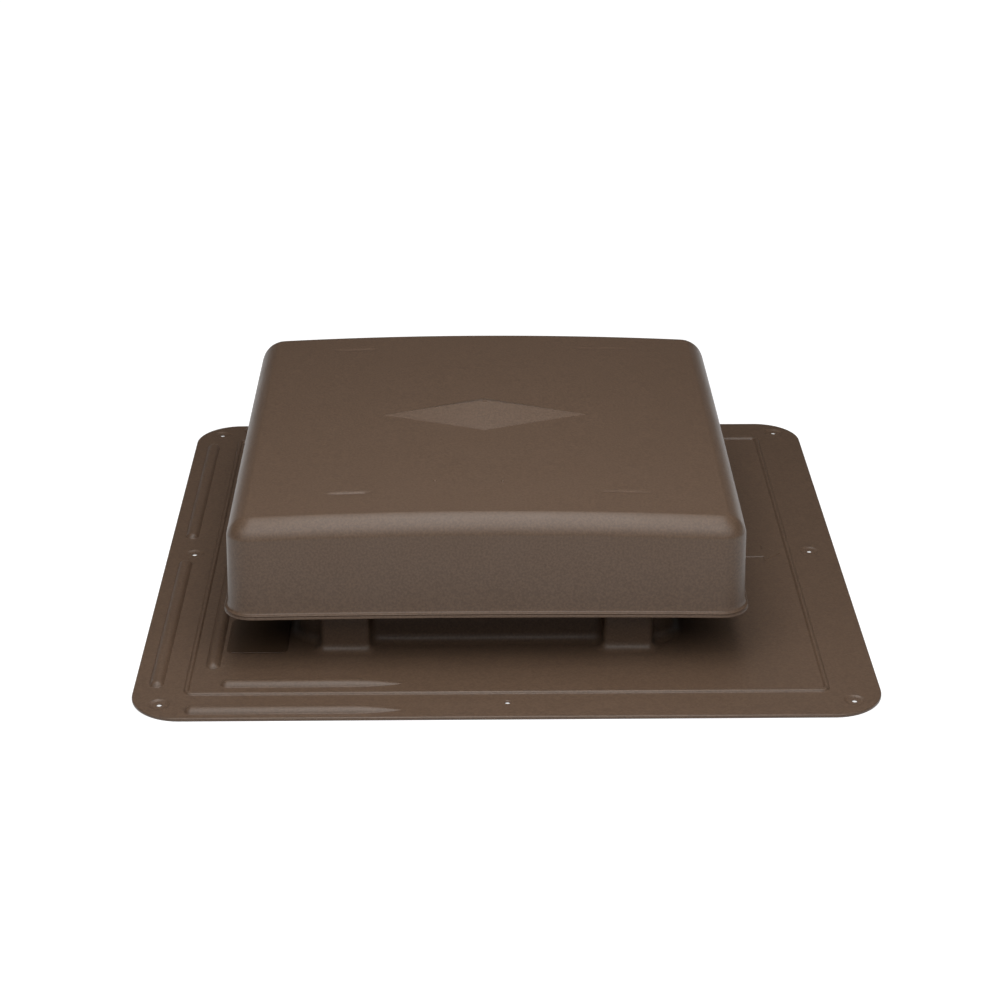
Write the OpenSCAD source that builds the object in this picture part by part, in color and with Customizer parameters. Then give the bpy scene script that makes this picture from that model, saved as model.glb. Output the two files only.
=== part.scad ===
// Static roof vent for an attic: a flanged base, an insect screen and a drafted hood.
// The flange lies on the roof deck, the throat stands over the hole and the hood keeps rain out.

/* [Flange] */
// Width of the flange along the slope
flange_w = 419.1; // [405:0.1:440]
// Depth of the flange across the slope
flange_d = 419.1; // [412:0.1:440]
// Thickness of the flange sheet
flange_t = 2; // [1.8:0.1:3]
// Radius of the flange corners
flange_r = 29; // [20:0.5:36]

/* [Nail holes] */
// Distance from the flange's edge to the rows of holes
nail_margin = 16.55; // [14:0.05:17.5]
// Diameter of a nail hole
nail_dia = 2.8; // [2:0.1:4]
// Diameter of the ring raised round a hole
nail_ring_dia = 10.6; // [9:0.1:11]
// Height of that ring above the sheet
nail_ring_h = 0.7; // [0.4:0.1:1.2]

/* [Frame bead] */
// Distance from the left and right edges to the bead
bead_margin_x = 30.05; // [29:0.05:31.5]
// Distance from the front and rear edges to the bead
bead_margin_y = 27.55; // [26.5:0.05:29.5]
// Radius of the bead's round section
bead_r = 1.6; // [1.2:0.1:1.8]
// Height of the bead above the sheet
bead_h = 1.2; // [0.8:0.1:1.5]
// Radius of the bead's corners
bead_corner_r = 4; // [3:0.5:8]

/* [Ribs] */
// Width of a rib where it leaves the sheet
rib_w = 8.2; // [6:0.2:9]
// Height of a rib above the sheet
rib_h = 2.6; // [1.6:0.1:3]
// Distance from the left edge to the outer side ribs
rib_outer_margin_x = 12.55; // [10.5:0.05:13.5]
// Distance from the left edge to the inner side ribs
rib_inner_margin_x = 42.15; // [39.5:0.05:45.5]
// Distance from the front and rear edges to the outer ribs
rib_outer_margin_y = 8.95; // [7.5:0.05:10.5]
// Distance from the front and rear edges to the inner ribs
rib_inner_margin_y = 39.15; // [37.5:0.05:41.5]
// Length of the point at the end of the front and rear ribs
rib_point = 15; // [10:1:25]

/* [Throat] */
// Width of the throat over its walls
throat_w = 219; // [200:1:224]
// Depth of the throat over its walls
throat_d = 239; // [230:1:243]
// Height of the throat's rim above the roof
throat_h = 42; // [38:1:50]
// Thickness of the throat's wall
throat_wall = 2.5; // [2.2:0.1:3]
// Radius of the throat's outer corners
throat_r = 14; // [10:0.5:20]
// How far throat and hood sit down the slope from the flange's middle
throat_shift = 11; // [8:0.5:12]
// Radius of the fillet at the foot of the throat and posts
foot_r = 3.5; // [2:0.5:4]

/* [Posts] */
// Distance between two posts along the slope
post_pitch = 163; // [150:1:168]
// Width of a post
post_w = 28.4; // [24:0.2:32]
// Distance of a post's outer face from the middle
post_reach = 131.4; // [129:0.2:134]
// Wall thickness of a post
post_wall = 2; // [1.6:0.1:2.4]
// Depth of the hood's plug in a post
plug_depth = 14; // [8:1:20]
// Clearance round the plug on each side
plug_clear = 0.15; // [0.05:0.05:0.3]
// How far the hood's pad reaches in past a post
pad_lap = 3.5; // [1:0.5:5]

/* [Hood] */
// Width of the hood's skirt at its foot
hood_w = 294.4; // [288:0.2:298]
// Depth of the hood's skirt at its foot
hood_d = 304.4; // [300:0.2:308]
// Height of the skirt's foot above the roof
hood_foot_z = 34; // [30:1:37]
// Height of the hood's crown above the roof
hood_top_z = 96; // [92:1:110]
// Thickness of the hood's wall
hood_wall = 2.5; // [2.2:0.1:3]
// Rise of the top from the side edges to the middle
hood_crown = 3.5; // [2:0.1:5]
// Rise of the top from the front and rear edges to the middle
hood_dome = 1.4; // [0:0.1:2]
// Draft of the skirt in degrees
hood_draft = 1.1; // [0.5:0.1:2]
// Radius of the hood's top edge
hood_edge_r = 10.5; // [7:0.5:11]
// Radius of the skirt's upright corners
hood_corner_r = 15; // [13:0.5:18]
// How far the drip lip stands out from the skirt
lip_out = 2; // [1:0.1:2.5]
// Height of the drip lip
lip_h = 2.4; // [2:0.1:3]
// How far the lip bows up in the middle of the front and rear
lip_bow = 1.2; // [0:0.1:2]

/* [Top relief] */
// Half length of the raised lozenge
relief_x = 61; // [40:1:65]
// Half depth of the raised lozenge
relief_y = 26; // [15:1:40]
// Height of the lozenge's peak above the crown
relief_h = 9; // [4:0.5:11]

/* [Screen] */
// Thickness of the insect screen
screen_t = 2; // [1.6:0.1:2.5]
// Width of a slot in the screen
slot_w = 4; // [2.5:0.1:4.5]
// Rows of slots
slot_rows = 28; // [20:1:29]
// Columns of slots
slot_cols = 4; // [3:1:4]
// Width of the ledge that carries the screen
ledge_w = 2.5; // [2:0.1:3.5]
// Height of the ledge's top above the roof
ledge_z = 26; // [20:1:30]

/* [Hidden] */
$fn = 64;
eps = 0.5;

// Where the throat's middle lies
mid_x = -throat_shift;
throat_in_w = throat_w - 2 * throat_wall;
throat_in_d = throat_d - 2 * throat_wall;
throat_in_r = throat_r - throat_wall;

// A rib and the bead are round bars sunk in the sheet
rib_r = (pow(rib_w / 2, 2) + pow(rib_h, 2)) / (2 * rib_h);
rib_z = flange_t + rib_h - rib_r;
rib_cut_r = flange_t - rib_z;
bead_z = flange_t + bead_h - bead_r;

// Rows of nail holes, the bead and the ribs lie at set distances from the flange's edges
nail_x = flange_w / 2 - nail_margin;
nail_y = flange_d / 2 - nail_margin;
bead_reach_x = flange_w / 2 - bead_margin_x;
bead_reach_y = flange_d / 2 - bead_margin_y;
rib_outer_x = flange_w / 2 - rib_outer_margin_x;
rib_inner_x = flange_w / 2 - rib_inner_margin_x;
rib_outer_y = flange_d / 2 - rib_outer_margin_y;
rib_inner_y = flange_d / 2 - rib_inner_margin_y;

// Ends of the ribs
side_gap_front = -11;
side_gap_rear = 22;
side_end = flange_d / 2 - 39.5;
inner_end = flange_d / 2 - 61.5;
row_start_outer = -(flange_w / 2 - 37.5);
row_start_inner = -(flange_w / 2 - 54.5);
row_end = -0.18 * flange_w;

// Posts stand between the throat's inner face and their own outer face
post_d = post_reach - throat_in_d / 2;
post_y = post_reach - post_d / 2;
post_r = 3;

// Hood levels
edge_z = hood_top_z - hood_crown - hood_dome;
crown_half = hood_w / 2 - hood_edge_r - 1;
dome_half = hood_d / 2 - hood_edge_r - 1;
wall_rise = edge_z - hood_edge_r - hood_foot_z + hood_edge_r * sin(hood_draft);
wall_in = wall_rise * tan(hood_draft);
pad_t = 2;
pad_far_x = post_pitch / 2 + post_w / 2;
pad_near_x = post_pitch / 2 - post_w / 2;
pad_d = post_d + pad_lap;
pad_z = edge_z + crown(pad_far_x) + dome(post_reach) - hood_wall - pad_t;
pad_top_z = edge_z + crown(pad_near_x) + dome(post_reach - pad_d) - hood_wall + 0.6;

// Steps round one corner, along one side and round the top edge
corner_steps = 9;
side_steps = 16;
depth_steps = 8;
edge_steps = 7;
inner_edge_steps = 6;

function crown(x) = hood_crown * (1 - pow(x / crown_half, 2));
function dome(y) = hood_dome * (1 - pow(y / dome_half, 2));

// Rear half of a rounded rectangle's outline, from its right side round to its left side
function half_loop(a, b, r) = concat(
    [for (i = [0 : corner_steps])
        let (t = 90 * i / corner_steps)
        [a - r + r * cos(t), b - r + r * sin(t)]],
    [for (i = [1 : side_steps - 1])
        [(a - r) * (1 - 2 * i / side_steps), b]],
    [for (i = [0 : corner_steps])
        let (t = 90 + 90 * i / corner_steps)
        [-(a - r) + r * cos(t), b - r + r * sin(t)]]
);

// Whole outline: the front half mirrors the rear half, and both sides are divided between them
function full_loop(a, b, r) =
    let (h = half_loop(a, b, r), n = len(h), s = b - r)
    concat(
        h,
        [for (j = [1 : depth_steps - 1]) [-a, s * (1 - 2 * j / depth_steps)]],
        [for (i = [n - 1 : -1 : 0]) [h[i][0], -h[i][1]]],
        [for (j = [1 : depth_steps - 1]) [a, -s * (1 - 2 * j / depth_steps)]]
    );

// One ring of the hood, set in from the skirt's foot by inset, at height z.
// It takes the whole rise of the top where bend is 1, and the share bow of the crown at the lip.
function ring(inset, z, bend = 0, bow = 0) =
    let (loop = full_loop(hood_w / 2 - inset, hood_d / 2 - inset, max(hood_corner_r - inset, 1)))
    [for (p = loop) [p[0], p[1], z + bend * (crown(p[0]) + dome(p[1])) + bow * crown(p[0])]];

// Rings of a top edge of radius r, whose centre line is shared by the outer and inner skins
function edge_rings(r, steps) =
    [for (i = [0 : steps])
        let (t = hood_draft + (90 - hood_draft) * i / steps)
        ring(wall_in + hood_edge_r * cos(hood_draft) - r * cos(t),
             edge_z - hood_edge_r + r * sin(t), 1)];

// Points of the top inside its last ring, row by row from right to left
function top_points(z) =
    let (inset = wall_in + hood_edge_r * cos(hood_draft),
         h = half_loop(hood_w / 2 - inset, hood_d / 2 - inset, max(hood_corner_r - inset, 1)))
    [for (i = [1 : len(h) - 2], j = [1 : depth_steps - 1])
        let (x = h[i][0], y = h[i][1] * (1 - 2 * j / depth_steps))
        [x, y, z + crown(x) + dome(y)]];

// Number of the top's point in row i (right to left) and column j (rear to front),
// where the ring starts at first and the points inside it start at extra
function top_index(first, extra, rows, i, j) =
    j == 0 ? first + i :
    j == depth_steps ? first + 2 * rows + depth_steps - 2 - i :
    i == 0 ? first + 2 * rows + 2 * depth_steps - 2 - j :
    i == rows - 1 ? first + rows + j - 1 :
    extra + (i - 1) * (depth_steps - 1) + j - 1;

module rounded(w, d, r) {
    square([w - 2 * r, d], center = true);
    square([w, d - 2 * r], center = true);
    for (x = [-1, 1], y = [-1, 1])
        translate([x * (w / 2 - r), y * (d / 2 - r)])
            circle(r);
}

// Carries a section (x outwards, y up) round a rounded rectangle
module carried_round(w, d, r) {
    for (turn = [0, 180])
        rotate(turn) {
            translate([w / 2, d / 2 - r, 0])
                rotate([90, 0, 0])
                    linear_extrude(d - 2 * r)
                        children();
            rotate(90)
                translate([d / 2, w / 2 - r, 0])
                    rotate([90, 0, 0])
                        linear_extrude(w - 2 * r)
                            children();
            translate([w / 2 - r, d / 2 - r, 0])
                rotate_extrude(angle = 90)
                    translate([r, 0])
                        children();
            translate([-(w / 2 - r), d / 2 - r, 0])
                rotate(90)
                    rotate_extrude(angle = 90)
                        translate([r, 0])
                            children();
        }
}

// Hollow fillet between an upright wall and the sheet
module foot_section() {
    translate([0, flange_t])
        difference() {
            translate([-eps, -eps])
                square([foot_r + eps, foot_r + eps]);
            translate([foot_r, foot_r])
                circle(foot_r);
        }
}

module at_posts() {
    for (x = [-1, 1], y = [-1, 1])
        translate([mid_x + x * post_pitch / 2, y * post_y, 0])
            children();
}

module at_nails() {
    for (x = [-1, 0, 1], y = [-1, 0, 1])
        if (x != 0 || y != 0)
            translate([x * nail_x, y * nail_y, 0])
                children();
}

// Round-backed rib with ball ends
module ball_rib(from, to) {
    translate([from[0], from[1], rib_z])
        sphere(rib_r);
    translate([to[0], to[1], rib_z])
        sphere(rib_r);
    translate([from[0], from[1], rib_z])
        rotate([-90, 0, 0])
            cylinder(h = to[1] - from[1], r = rib_r);
}

// Rib with a ball at its start that runs out to a point
module pointed_rib(start, y) {
    full = rib_point * rib_r / (rib_r - rib_cut_r);
    translate([start, y, rib_z])
        sphere(rib_r);
    translate([start, y, rib_z])
        rotate([0, 90, 0])
            cylinder(h = row_end - start, r = rib_r);
    translate([row_end, y, rib_z])
        rotate([0, 90, 0])
            cylinder(h = full * 0.95, r1 = rib_r, r2 = rib_r * 0.05);
}

module ribs() {
    intersection() {
        union() {
            for (x = [-rib_outer_x, -rib_inner_x]) {
                far = x == -rib_outer_x ? side_end : inner_end;
                ball_rib([x, -far], [x, side_gap_front - rib_w / 2]);
                ball_rib([x, side_gap_rear + rib_w / 2], [x, far]);
            }
            for (side = [-1, 1]) {
                pointed_rib(row_start_outer, side * rib_outer_y);
                pointed_rib(row_start_inner, side * rib_inner_y);
            }
        }
        translate([-flange_w, -flange_d, flange_t / 2])
            cube([2 * flange_w, 2 * flange_d, 40]);
    }
}

module frame_bead() {
    carried_round(2 * bead_reach_x, 2 * bead_reach_y, bead_corner_r)
        translate([0, bead_z])
            circle(bead_r);
}

// Dished ring round a nail hole
module nail_ring() {
    top = flange_t + nail_ring_h;
    out = nail_ring_dia / 2;
    rotate_extrude()
        polygon([[0, flange_t / 2], [out, flange_t / 2], [out, flange_t], [out - 0.7, top],
                 [out - 1.6, top], [out - 2.6, flange_t + 0.1], [0, flange_t + 0.1]]);
}

// Bare raised panel beside the throat, under the hood's edge
module bare_panel() {
    w = 33.2;
    d = 42.6;
    beside = mid_x - throat_w / 2 - 5.6 - w / 2;
    level = -throat_d / 2 - 13.8 + d / 2;
    translate([beside, level, flange_t / 2])
        linear_extrude(flange_t / 2 + 0.4)
            rounded(w, d, 2);
}

module base() {
    color([0.27, 0.21, 0.17])
        union() {
            difference() {
                union() {
                    linear_extrude(flange_t)
                        rounded(flange_w, flange_d, flange_r);
                    ribs();
                    frame_bead();
                    bare_panel();
                    at_nails()
                        nail_ring();
                    translate([mid_x, 0, 0])
                        linear_extrude(throat_h)
                            rounded(throat_w, throat_d, throat_r);
                    translate([mid_x, 0, 0])
                        carried_round(throat_w, throat_d, throat_r)
                            foot_section();
                    at_posts()
                        linear_extrude(pad_z)
                            rounded(post_w, post_d, post_r);
                    at_posts()
                        carried_round(post_w, post_d, post_r)
                            foot_section();
                }
                translate([mid_x, 0, -1])
                    linear_extrude(hood_top_z)
                        rounded(throat_in_w, throat_in_d, throat_in_r);
                at_posts()
                    translate([0, 0, flange_t])
                        linear_extrude(hood_top_z)
                            rounded(post_w - 2 * post_wall, post_d - 2 * post_wall, 1);
                at_nails()
                    translate([0, 0, -1])
                        cylinder(h = flange_t + nail_ring_h + 2, d = nail_dia);
            }
            // Ledge inside the throat that carries the screen
            translate([mid_x, 0, ledge_z - 3])
                linear_extrude(3)
                    difference() {
                        rounded(throat_in_w + 1, throat_in_d + 1, throat_in_r + 0.5);
                        rounded(throat_in_w - 2 * ledge_w, throat_in_d - 2 * ledge_w,
                                throat_in_r - ledge_w);
                    }
        }
}

module insect_screen() {
    fit = 0.4;
    w = throat_in_w - 2 * fit;
    d = throat_in_d - 2 * fit;
    rim = ledge_w + 2.5;
    bar = 4;
    slot_l = (w - 2 * rim - (slot_cols - 1) * bar) / slot_cols;
    pitch = (d - 2 * rim - slot_w) / (slot_rows - 1);
    color([0.2, 0.17, 0.15])
        translate([mid_x, 0, ledge_z])
            linear_extrude(screen_t)
                difference() {
                    rounded(w, d, throat_in_r - fit);
                    for (c = [0 : slot_cols - 1], r = [0 : slot_rows - 1])
                        translate([-w / 2 + rim + c * (slot_l + bar), -d / 2 + rim + r * pitch])
                            square([slot_l, slot_w]);
                }
}

// Skin of the hood: rings up the outside, across the top, and down the inside
module hood_skin() {
    tan_d = tan(hood_draft);
    step_z = hood_foot_z + lip_h;
    bow = lip_bow / hood_crown;
    outer = concat(
        [ring(-lip_out, hood_foot_z, bow = bow),
         ring(-lip_out, step_z - 0.5, bow = bow),
         ring(-lip_out + 0.5, step_z, bow = bow),
         ring(-0.5, step_z + 0.3, bow = bow),
         ring(1.3 * tan_d, step_z + 1.3, bow = bow)],
        edge_rings(hood_edge_r, edge_steps)
    );
    inner = concat(
        edge_rings(hood_edge_r - hood_wall, inner_edge_steps),
        [ring(hood_wall, hood_foot_z, bow = bow)]
    );
    turned = [for (i = [len(inner) - 2 : -1 : 0]) inner[i]];
    rings = concat(outer, turned, [inner[len(inner) - 1]]);
    n = len(outer[0]);
    rows = n / 2 - depth_steps + 1;
    inside = (rows - 2) * (depth_steps - 1);
    last = len(rings) - 1;
    outer_first = (len(outer) - 1) * n;
    inner_first = outer_first + n;
    outer_extra = len(rings) * n;
    inner_extra = outer_extra + inside;
    polyhedron(
        points = concat(
            [for (r = rings) each r],
            top_points(edge_z),
            top_points(edge_z - hood_wall)
        ),
        faces = concat(
            [for (k = [0 : last], i = [0 : n - 1])
                if (k != len(outer) - 1)
                    let (j = (i + 1) % n, m = (k + 1) % (last + 1))
                    each [[k * n + i, m * n + j, k * n + j], [k * n + i, m * n + i, m * n + j]]],
            [for (i = [0 : rows - 2], j = [0 : depth_steps - 1])
                let (a = top_index(outer_first, outer_extra, rows, i, j),
                     b = top_index(outer_first, outer_extra, rows, i + 1, j),
                     c = top_index(outer_first, outer_extra, rows, i + 1, j + 1),
                     d = top_index(outer_first, outer_extra, rows, i, j + 1))
                each [[a, c, b], [a, d, c]]],
            [for (i = [0 : rows - 2], j = [0 : depth_steps - 1])
                let (a = top_index(inner_first, inner_extra, rows, i, j),
                     b = top_index(inner_first, inner_extra, rows, i + 1, j),
                     c = top_index(inner_first, inner_extra, rows, i + 1, j + 1),
                     d = top_index(inner_first, inner_extra, rows, i, j + 1))
                each [[a, b, c], [a, c, d]]]
        )
    );
}

// Raised lozenge with four slopes in the middle of the top
module top_relief() {
    low = hood_top_z - 1.6;
    peak = hood_top_z + relief_h;
    x = relief_x * (1 + 1.6 / relief_h) * 0.985;
    y = relief_y * (1 + 1.6 / relief_h);
    polyhedron(
        points = [[x, 0, low], [0, y, low], [-x, 0, low], [0, -y, low], [0, 0, peak]],
        faces = [[0, 1, 2, 3], [1, 0, 4], [2, 1, 4], [3, 2, 4], [0, 3, 4]]
    );
}

// Flat pad that sits on a post, and the hollow plug that reaches into it
module pad_and_plug() {
    inner_w = post_w - 2 * post_wall - 2 * plug_clear;
    inner_d = post_d - 2 * post_wall - 2 * plug_clear;
    translate([0, post_reach - pad_d / 2 - post_y, pad_z])
        linear_extrude(pad_top_z - pad_z)
            rounded(post_w, pad_d, post_r);
    translate([0, 0, pad_z - plug_depth])
        linear_extrude(plug_depth + eps)
            difference() {
                rounded(inner_w, inner_d, 1);
                square([inner_w - 3.6, inner_d - 3.6], center = true);
            }
}

module hood() {
    color([0.36, 0.29, 0.24])
        union() {
            translate([mid_x, 0, 0]) {
                hood_skin();
                top_relief();
            }
            for (x = [-1, 1], y = [-1, 1])
                translate([mid_x + x * post_pitch / 2, 0, 0])
                    mirror([0, y < 0 ? 1 : 0, 0])
                        translate([0, post_y, 0])
                            pad_and_plug();
        }
}

base();
insect_screen();
hood();
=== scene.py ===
import logging
import math
from collections.abc import Sequence
from dataclasses import dataclass, field, replace
from enum import Enum

import bmesh
import bpy
import numpy as np
from mathutils import Matrix, Vector
from mathutils.geometry import tessellate_polygon


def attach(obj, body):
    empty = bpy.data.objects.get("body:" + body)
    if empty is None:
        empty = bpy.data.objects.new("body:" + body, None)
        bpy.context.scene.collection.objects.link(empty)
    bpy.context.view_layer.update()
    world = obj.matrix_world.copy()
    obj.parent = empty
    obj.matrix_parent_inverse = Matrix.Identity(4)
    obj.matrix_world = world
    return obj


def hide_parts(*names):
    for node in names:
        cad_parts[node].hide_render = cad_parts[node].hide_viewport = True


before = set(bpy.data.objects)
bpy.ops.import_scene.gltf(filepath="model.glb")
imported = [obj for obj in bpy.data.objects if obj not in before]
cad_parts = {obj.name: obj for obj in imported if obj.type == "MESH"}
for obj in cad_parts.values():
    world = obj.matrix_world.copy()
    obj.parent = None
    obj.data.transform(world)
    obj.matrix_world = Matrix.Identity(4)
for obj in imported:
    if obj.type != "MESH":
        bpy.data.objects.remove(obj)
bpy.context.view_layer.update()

MM = 0.001
WELD = 1e-6       # metres within which points of a mesh become one
NO_AREA = 1e-9    # square millimetres below which a triangle is left out
LIFT = 0.01       # millimetres that a moulded detail stands off its sheet
log = logging.getLogger("attic_vent")

Point = tuple[float, float]
Profile = list[Point]
Section = Sequence[Point]
Triple = tuple[float, float, float]
Value = float | tuple[float, ...] | bpy.types.NodeSocket | None


class Slot(Enum):
    """Material slots of the record, passed with each piece but not read."""

    BASE = "base_plastic"
    HOOD = "hood_plastic"


class Side(Enum):
    """Side across the slope that a row of features lies on."""

    FRONT = -1
    REAR = 1


# ---------------------------------------------------------------- outlines


def arc(centre_u: float, centre_v: float, radius: float, start: float, end: float,
        steps: int) -> Profile:
    """Points along an arc in a section.

    Args:
        centre_u: Sideways place of the arc's centre in mm.
        centre_v: Height of the arc's centre in mm.
        radius: Radius in mm.
        start: First angle in degrees.
        end: Last angle in degrees.
        steps: Number of segments.

    Returns:
        The points, both ends included.
    """
    turns = [math.radians(start + (end - start) * i / steps) for i in range(steps + 1)]
    return [(centre_u + radius * math.cos(t), centre_v + radius * math.sin(t)) for t in turns]


def bar_section(radius: float, centre_v: float, fillet: float) -> Profile:
    """Half section of a round bar sunk in a sheet, from its filleted foot up to its crest.

    Args:
        radius: Radius of the bar in mm.
        centre_v: Height of the bar's centre above the sheet, below zero when it is sunk.
        fillet: Radius of the hollow fillet at the foot.

    Returns:
        Points (distance from the crest line, height above the sheet).
    """
    fillet_steps, crest_steps, feather, least = 4, 11, 0.4, 1e-6
    foot = math.sqrt(max((radius + fillet) ** 2 - (fillet - centre_v) ** 2, least))
    lean = math.degrees(math.atan2(fillet - centre_v, foot))
    hollow = arc(foot, fillet, fillet, 270, 180 + lean, fillet_steps)
    crest = arc(0, centre_v, radius, lean, 90, crest_steps)
    return [(foot + feather, 0.0)] + hollow + crest[1:]


def mirrored(half: Section) -> Profile:
    """Whole section from its right half, which ends on the middle line."""
    return list(half) + [(-u, v) for u, v in half[-2::-1]]


def at_height(plan: Section, height: float, centre: Point = (0.0, 0.0)) -> np.ndarray:
    """Points of a plan about a centre and at a height, as an array with three columns."""
    flat = np.array(plan)
    return np.column_stack([flat + np.array(centre), np.full(len(flat), height)])


@dataclass(frozen=True)
class RoundedOutline:
    """Rounded rectangle that sections are carried round.

    Attributes:
        width: Size along the slope in mm.
        depth: Size across the slope in mm.
        radius: Corner radius in mm.
        centre: Middle of the outline in mm.
        corner_steps: Segments in one corner.
        along: Segments on a front or rear side, and on a left or right side.
        least_radius: Corner radius that inner loops don't go below.
    """

    width: float
    depth: float
    radius: float
    centre: Point = (0.0, 0.0)
    corner_steps: int = 8
    along: tuple[int, int] = (1, 1)
    least_radius: float = 0.3

    def loop(self, offset: float, height: float) -> np.ndarray:
        """One closed loop, counter-clockwise from above, starting at the right side.

        Args:
            offset: Distance outwards from the outline in mm.
            height: Height of the loop in mm.

        Returns:
            An array of points with three columns.
        """
        r = max(self.radius + offset, self.least_radius)
        reach_x, reach_y = self.width / 2 + offset - r, self.depth / 2 + offset - r
        corners = [arc(sx * reach_x, sy * reach_y, r, first, first + 90, self.corner_steps)
                   for sx, sy, first in ((1, 1, 0), (-1, 1, 90), (-1, -1, 180), (1, -1, 270))]
        plan: Profile = []
        for turn, corner in enumerate(corners):
            plan += corner
            (x, y), (goal_x, goal_y) = corner[-1], corners[(turn + 1) % 4][0]
            segments = self.along[turn % 2]
            for t in (k / segments for k in range(1, segments)):
                plan.append((x + (goal_x - x) * t, y + (goal_y - y) * t))
        return at_height(plan, height, self.centre)

    def carried(self, section: Section) -> list[np.ndarray]:
        """Loops for each point (offset, height) of a section."""
        return [self.loop(offset, height) for offset, height in section]


@dataclass(frozen=True)
class PostedOutline:
    """Outline of the throat with its four posts and hollow corners between them.

    Attributes:
        throat: Outline of the throat's outer face.
        post_x: Distance of a post's middle from the throat's middle, along the slope.
        post_half: Half width of a post.
        post_reach: Distance of a post's outer face from the middle, across the slope.
        post_radius: Corner radius of a post.
        hollow: Radius of the hollow corners.
        steps: Segments of each arc.
    """

    throat: RoundedOutline
    post_x: float = 81.5
    post_half: float = 14.2
    post_reach: float = 131.4
    post_radius: float = 3.0
    hollow: float = 6.0
    steps: int = 7

    def _quarter(self) -> list[tuple[float, float, float, float, float, bool]]:
        """Arcs of the front left quarter.

        Returns:
            Middle along and across the slope, radius, first and last angle of each arc, and
            whether it is hollow.
        """
        w, d, r = self.throat.width / 2, self.throat.depth / 2, self.throat.radius
        cx, cy, pr = -(w - r), -(d - r), self.post_radius
        outer, inner = -(self.post_x + self.post_half), -(self.post_x - self.post_half)
        hx = outer - self.hollow
        hy = cy - math.sqrt((r + self.hollow) ** 2 - (hx - cx) ** 2)
        lean = math.degrees(math.atan2(cy - hy, cx - hx))
        post_y = -(self.post_reach - pr)
        return [(cx, cy, r, 180, 180 + lean, False),
                (hx, hy, self.hollow, lean, 0, True),
                (outer + pr, post_y, pr, 180, 270, False),
                (inner - pr, post_y, pr, 270, 360, False),
                (inner + self.hollow, -d - self.hollow, self.hollow, 180, 90, True)]

    def loop(self, offset: float, height: float) -> np.ndarray:
        """One closed loop, counter-clockwise from above.

        Args:
            offset: Distance outwards from the outline in mm.
            height: Height of the loop in mm.

        Returns:
            An array of points with three columns.
        """
        left = self._quarter()
        right = [(-x, y, r, 180 - end, 180 - start, hollow)
                 for x, y, r, start, end, hollow in reversed(left)]
        front = left + right
        rear = [(-x, -y, r, start + 180, end + 180, hollow)
                for x, y, r, start, end, hollow in front]
        plan: Profile = []
        for x, y, r, start, end, hollow in front + rear:
            plan += arc(x, y, r - offset if hollow else r + offset, start, end, self.steps)
        return at_height(plan, height, self.throat.centre)


def circle_loop(x: float, y: float, radius: float, height: float, steps: int = 40) -> np.ndarray:
    """A round loop, counter-clockwise from above.

    Args:
        x: Middle along the slope in mm.
        y: Middle across the slope in mm.
        radius: Radius in mm.
        height: Height in mm.
        steps: Number of points.

    Returns:
        An array of points with three columns.
    """
    t = np.arange(steps) * 2 * math.pi / steps
    return np.column_stack([x + radius * np.cos(t), y + radius * np.sin(t), np.full(steps, height)])


def capsule_loop(x: float, start: float, end: float, radius: float,
                 height: float) -> np.ndarray:
    """A loop at one distance from a centre line across the slope, with round ends.

    Args:
        x: Place of the centre line along the slope in mm.
        start: Front end of the centre line in mm.
        end: Rear end of the centre line in mm.
        radius: Distance from the centre line in mm.
        height: Height in mm.

    Returns:
        An array of points with three columns.
    """
    end_steps = 14
    plan = arc(x, end, radius, 0, 180, end_steps) + arc(x, start, radius, 180, 360, end_steps)
    return at_height(plan, height)


def inset_polygon(points: Section, distance: float) -> Profile:
    """Moves every edge of a counter-clockwise polygon inwards.

    Args:
        points: Corners in mm.
        distance: How far the edges move, in mm.

    Returns:
        The new corners.
    """
    moved: Profile = []
    count = len(points)
    for i in range(count):
        before, here, after = (Vector(points[(i + k) % count]) for k in (-1, 0, 1))
        one, two = (here - before).normalized(), (after - here).normalized()
        n1, n2 = Vector((-one.y, one.x)), Vector((-two.y, two.x))
        shift = (n1 + n2) * (distance / (1 + n1.dot(n2)))
        moved.append((here.x + shift.x, here.y + shift.y))
    return moved


# ---------------------------------------------------------------- meshes


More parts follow.
